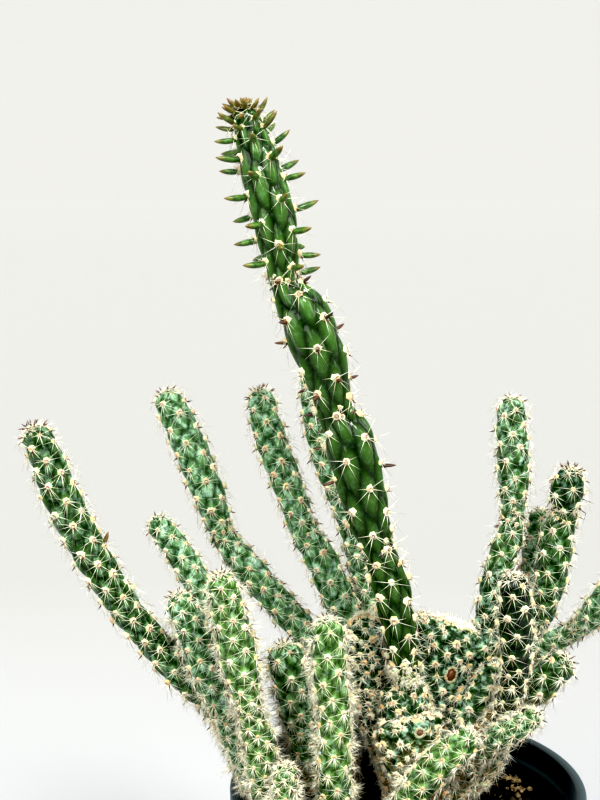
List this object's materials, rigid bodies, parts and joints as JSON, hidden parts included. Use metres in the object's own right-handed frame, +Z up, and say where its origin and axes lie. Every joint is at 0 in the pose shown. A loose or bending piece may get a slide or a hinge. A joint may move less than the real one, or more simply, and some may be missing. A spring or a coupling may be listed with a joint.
{
  "type": "potted crested cactus with many branching columnar stems",
  "caption": "Round plastic nursery pot of soil with a crested cactus whose slender spiny stems branch upwards and outwards, one of them much taller.",
  "frame": {"origin": "middle of the pot's flat base", "axes": "+Z up through the pot's centre, +X to the viewer's right and -Y towards the viewer in the picture"},
  "size_m": [0.2906, 0.17, 0.4746],
  "materials": {
    "flesh": "waxy mid-green skin with a blue bloom",
    "flesh_dark": "glossy dark green skin",
    "flesh_crest": "waxy blue-green skin with corky brown patches",
    "wool": "short cream wool with an orange-brown centre",
    "spines": "hard cream-white spines",
    "leaves": "fleshy green leaves with brown tips",
    "soil": "dark potting mix with light crumbs",
    "pot": "satin black moulded plastic"
  },
  "bodies": {
    "root": {"tall_stem": "flesh_dark", "right_tall_stem": "flesh", "right_jointed_stem": "flesh", "right_back_stem": "flesh", "far_right_stem": "flesh", "right_stub": "flesh", "front_right_stub": "flesh", "dark_right_stem": "flesh_dark", "stem_behind_tall": "flesh", "back_left_stem": "flesh", "jointed_left_stem": "flesh", "far_left_stem": "flesh", "short_back_left_stem": "flesh", "front_left_stem": "flesh", "left_stem": "flesh", "dark_stem": "flesh_dark", "front_stem": "flesh", "front_left_stub": "flesh", "front_right_stem": "flesh", "crest": "flesh_crest", "soil": "soil", "pot": "pot"}
  },
  "joints": []
}
